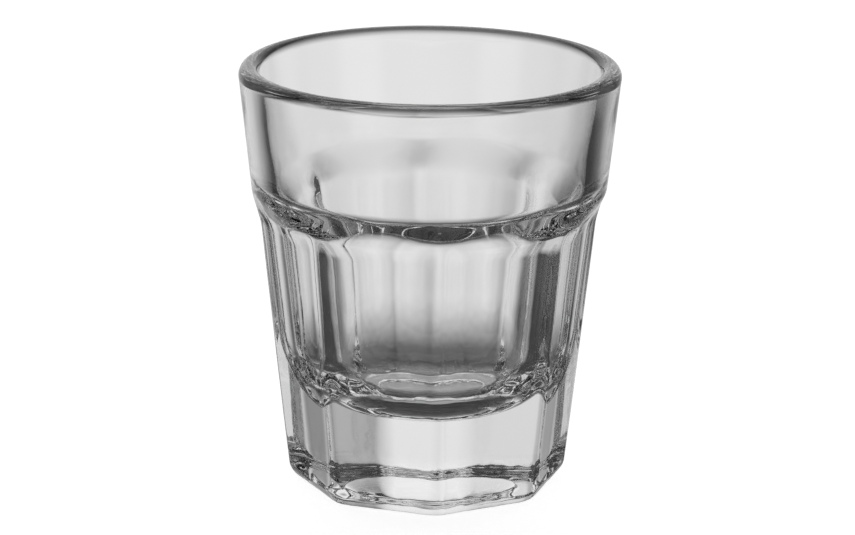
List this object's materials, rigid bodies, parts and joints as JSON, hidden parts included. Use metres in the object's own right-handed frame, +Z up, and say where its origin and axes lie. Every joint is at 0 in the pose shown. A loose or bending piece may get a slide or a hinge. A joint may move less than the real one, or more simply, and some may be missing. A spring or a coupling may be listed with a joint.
{
  "type": "shot glass",
  "caption": "Heavy pressed shot glass: round band and rounded lip over eight flat side panels, round bowl with a soft ledge behind the shoulder, thick clear base with a shallow domed recess underneath.",
  "frame": {"origin": "centre of the foot ring, on the plane the glass stands on", "axes": "+Z up along the axis of the bowl, -Y towards the viewer of the picture, +X to the viewer's right"},
  "size_m": [0.0504, 0.0504, 0.057],
  "materials": {
    "clear_glass": "clear, fire-polished, smooth"
  },
  "bodies": {
    "root": {"glass": "clear_glass"}
  },
  "joints": []
}
